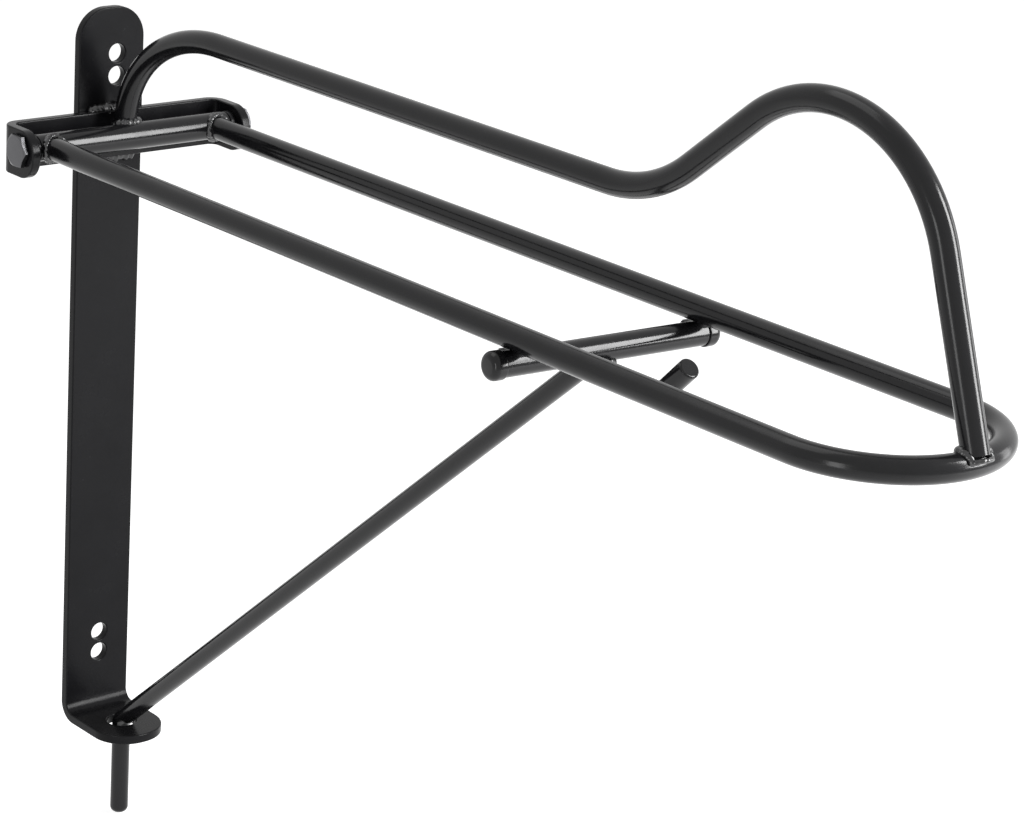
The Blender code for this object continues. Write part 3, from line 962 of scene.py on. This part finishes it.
weldLook = {
    "pitch": 0.0024,
    "depth": 0.22,
    "swell": 0.06,
    "sides": 18,
    "stationsPerRipple": 9,
    "crescent": 0.45,            # how far a ripple bends, in ripples
    "trough": 0.6,
    "slowSwells": 3,             # swells along the whole bead
    "fastSwells": 5,
    "fastShare": 0.6,
    "fastShift": 2.3,
    "endPower": 6,
    "endLeast": 0.02,
}
bracketWeldLook = {"swell": 0.13, "depth": 0.24, "pitch": 0.0034}
swellPhases = {                  # where each bead's swells start, in radians
    "sleeveWeldLeft": 0.4,
    "sleeveWeldRight": 1.9,
    "ridgeWeldRear": 2.7,
    "ridgeWeldFront": 0.9,
    "crossbarWeld": 3.3,
    "bracketWeldUpper": 1.2,
    "bracketWeldLower": 4.1,
}
weldSizes = {
    "sleeve": 0.0017,
    "sleeveLeast": 0.001,        # least depth at which a ring still follows its cylinder
    "ridgeRear": 0.0025,
    "rearLeast": 0.0048,
    "webSide": 0.36,             # the rear bead's share of its thickness next to the bracket
    "ridgeFront": 0.0021,
    "frontLeast": 0.0012,
    "noseSide": 0.45,
    "crossbar": 0.0017,
    "crossbarSpread": 0.0044,
    "crossbarStations": 150,
    "bracket": 0.0036,
    "bracketInset": 0.6,
    "offWeb": 0.0006,
    "overEdge": 0.0001,
}


def saddleRing(start, away, radius, centre, cylinderRadius, least):
    # where a bar that leaves a cylinder along X meets its surface
    across = away.cross(xAxis).normalized()
    count = round(2 * pi * radius / weldLook["pitch"] * weldLook["stationsPerRipple"])
    points = []
    for index in range(count):
        turn = 2 * pi * index / count
        point = start + radius * (xAxis * cos(turn) + across * sin(turn))
        offset = point - centre
        offset.x = 0
        along = offset.dot(away)
        room = along * along - offset.length_squared + cylinderRadius ** 2
        points.append(point + away * (sqrt(max(room, least ** 2)) - along))
    return points


def makeWelds():
    for place, side in (("left", -1), ("right", 1)):
        start = pivot + xAxis * side * railX
        ring = saddleRing(
            start, -yAxis, barRadius + seatGap, pivot, sleeveRadius, weldSizes["sleeveLeast"]
        )
        name = "sleeveWeld" + place.capitalize()
        mesh = beadMesh(name, ring, weldSizes["sleeve"], weldLook)
        addPiece(name, mesh, "sleeve_weld_" + place)
    foot = Vector((0, -ridgeSizes["rearY"], 0))
    ring = saddleRing(foot, zAxis, barRadius, pivot, sleeveRadius, weldSizes["rearLeast"])
    mesh = beadMesh(
        "ridgeWeldRear",
        ring,
        weldSizes["ridgeRear"],
        weldLook,
        slimWay=yAxis,
        slimShare=weldSizes["webSide"],
    )
    addPiece("ridgeWeldRear", mesh, "ridge_weld_rear")
    away = Vector((0, cos(ridgeSizes["fallAngle"]), sin(ridgeSizes["fallAngle"])))
    nose = Vector((0, -armReach, 0))
    ring = saddleRing(ridgeEnd, away, barRadius, nose, barRadius, weldSizes["frontLeast"])
    mesh = beadMesh(
        "ridgeWeldFront",
        ring,
        weldSizes["ridgeFront"],
        weldLook,
        slimWay=-yAxis,
        slimShare=weldSizes["noseSide"],
    )
    addPiece("ridgeWeldFront", mesh, "ridge_weld_front")
    makeCrossbarWeld()
    makeBracketWelds()


def makeCrossbarWeld():
    # round the spot where the crossbar lies across the strut
    spread = weldSizes["crossbarSpread"]
    count = weldSizes["crossbarStations"]
    points = []
    for index in range(count):
        turn = 2 * pi * index / count
        sideways, along = spread * cos(turn), spread * sin(turn)
        underBar = crossbarZ - sqrt(barRadius ** 2 - along ** 2)
        overRod = strutRunZ + sqrt(strutSizes["radius"] ** 2 - sideways ** 2)
        points.append(Vector((sideways, crossing.y + along, (underBar + overRod) / 2)))
    mesh = beadMesh("crossbarWeld", points, weldSizes["crossbar"], weldLook)
    addPiece("crossbarWeld", mesh, "crossbar_weld")


def makeBracketWelds():
    for place, edgeZ, facing in (("upper", bracketHigh.z, 1), ("lower", bracketLow.z, -1)):
        node = "bracket_weld_" + place
        low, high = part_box(node)
        radius = weldSizes["bracket"]
        inset = radius * weldSizes["bracketInset"]
        length = high.x - low.x
        count = round(length / weldLook["pitch"] * weldLook["stationsPerRipple"])
        y = bracketHigh.y - weldSizes["offWeb"]
        z = edgeZ + facing * weldSizes["overEdge"]
        points = []
        for index in range(count + 1):
            points.append(Vector((low.x + inset + (length - 2 * inset) * (index / count), y, z)))
        look = {**weldLook, **bracketWeldLook, "face": Vector((0, -1, facing))}
        name = "bracketWeld" + place.capitalize()
        addPiece(name, beadMesh(name, points, radius, look, closed=False), node)


makeWallPlate()
makePivotBracket()
makeBolt()
makeNut()
makeTube("pivotSleeve", "pivot_sleeve")
makeTube("spacerLeft", "spacer_left")
makeTube("spacerRight", "spacer_right")
makeArm()
makeStrutRod()
makeCrossbar()
# dark pads that stand for the rails' shade on the crossbar (painted shade)
makeShadePads()
makeWelds()
meshCount = sum(1 for thing in bpy.data.objects if thing.type == "MESH")
print("pieces made:", meshCount - len(frame["nodes"]))


# floor, light and camera

white = (1, 1, 1, 1)
stageLook = {
    "floorSize": 40.0,
    "floorGap": 0.002,
    "floorColour": (0.84, 0.84, 0.84, 1),
    "floorRoughness": 0.9,
    "floorSpecular": 0.1,
    "floorGlow": 0.76,           # brings the lit floor up to white
    "worldLight": 0.22,
}
lamps = {
    "keyStrip": {
        "direction": (0.56, -0.75, 0.36), "upright": (0, 0.3, 0.95),
        "distance": 1.55, "size": (0.42, 1.10), "power": 33.0,
    },
    "topLamp": {
        "direction": (-0.20, 0.35, 0.92), "upright": (0, 1, 0),
        "distance": 2.2, "size": (1.6, 1.2), "power": 8.0,
    },
    "rightStrip": {
        "direction": (0.94, -0.33, 0.05), "upright": (0, 0, 1),
        "distance": 1.8, "size": (0.40, 0.95), "power": 4.0,
    },
    "leftStrip": {
        "direction": (-0.93, -0.36, 0.08), "upright": (0, 0, 1),
        "distance": 1.8, "size": (0.40, 1.00), "power": 6.0,
    },
}
lampTarget = Vector((0, -0.28, -0.05))
cameraView = {
    "azimuth": radians(-41.45),
    "elevation": radians(18.37),
    "roll": radians(3.76),
    "place": (-0.94729, -1.41136, 0.41761),
    "lens": 115.25,
    "sensor": 36.0,
}


def backdropLight(tree, seenStrength, otherStrength):
    # one strength for what the eye and reflections see, another for everything else
    path = tree.nodes.new("ShaderNodeLightPath")
    seen = mathNode(tree, "ADD", path.outputs["Is Camera Ray"], path.outputs["Is Glossy Ray"])
    seen = mathNode(tree, "ADD", seen, path.outputs["Is Transmission Ray"], clamp=True)
    return rangeNode(tree, seen, 0.0, 1.0, otherStrength, seenStrength)


def makeStage():
    world = bpy.context.scene.world or bpy.data.worlds.new("studio")
    bpy.context.scene.world = world
    world.use_nodes = True
    tree = world.node_tree
    sky = tree.nodes["Background"]
    sky.inputs["Color"].default_value = white
    tree.links.new(backdropLight(tree, 1.0, stageLook["worldLight"]), sky.inputs["Strength"])
    build = bmesh.new()
    half = stageLook["floorSize"] / 2
    level = strutLow.z - stageLook["floorGap"]
    corners = [(-half, -half), (half, -half), (half, half), (-half, half)]
    build.faces.new([build.verts.new((x, y, level)) for x, y in corners])
    mesh = bpy.data.meshes.new("floor")
    build.to_mesh(mesh)
    build.free()
    floor = bpy.data.objects.new("floor", mesh)
    bpy.context.scene.collection.objects.link(floor)
    material = bpy.data.materials.new("floorPaper")
    material.use_nodes = True
    shader = material.node_tree.nodes["Principled BSDF"]
    shader.inputs["Base Color"].default_value = stageLook["floorColour"]
    shader.inputs["Roughness"].default_value = stageLook["floorRoughness"]
    shader.inputs["Specular IOR Level"].default_value = stageLook["floorSpecular"]
    shader.inputs["Emission Color"].default_value = white
    glow = backdropLight(material.node_tree, stageLook["floorGlow"], 0.0)
    material.node_tree.links.new(glow, shader.inputs["Emission Strength"])
    mesh.materials.append(material)


def makeLamps():
    for name, lamp in lamps.items():
        light = bpy.data.lights.new(name, "AREA")
        light.shape = "RECTANGLE"
        light.size, light.size_y = lamp["size"]
        light.energy = lamp["power"]
        holder = bpy.data.objects.new(name, light)
        way = Vector(lamp["direction"]).normalized()
        holder.location = lampTarget + way * lamp["distance"]
        side = Vector(lamp["upright"]).cross(way).normalized()
        holder.rotation_euler = Matrix((side, way.cross(side), way)).transposed().to_euler()
        bpy.context.scene.collection.objects.link(holder)


def makeCamera():
    lens = bpy.data.cameras.new("camera")
    lens.lens = cameraView["lens"]
    lens.sensor_width = cameraView["sensor"]
    lens.sensor_fit = "HORIZONTAL"
    lens.dof.use_dof = False
    azimuth, elevation = cameraView["azimuth"], cameraView["elevation"]
    roll = cameraView["roll"]
    flat = cos(elevation)
    back = Vector((sin(azimuth) * flat, -cos(azimuth) * flat, sin(elevation)))
    levelRight = zAxis.cross(back).normalized()
    levelUp = back.cross(levelRight)
    right = levelRight * cos(roll) + levelUp * sin(roll)
    up = levelUp * cos(roll) - levelRight * sin(roll)
    camera = bpy.data.objects.new("camera", lens)
    turn = Matrix((right, up, back)).transposed().to_4x4()
    camera.matrix_world = Matrix.Translation(cameraView["place"]) @ turn
    bpy.context.scene.collection.objects.link(camera)
    bpy.context.scene.camera = camera


makeStage()
makeLamps()
makeCamera()
bpy.context.scene.view_settings.view_transform = "Standard"
print("stage, lamps and camera set")
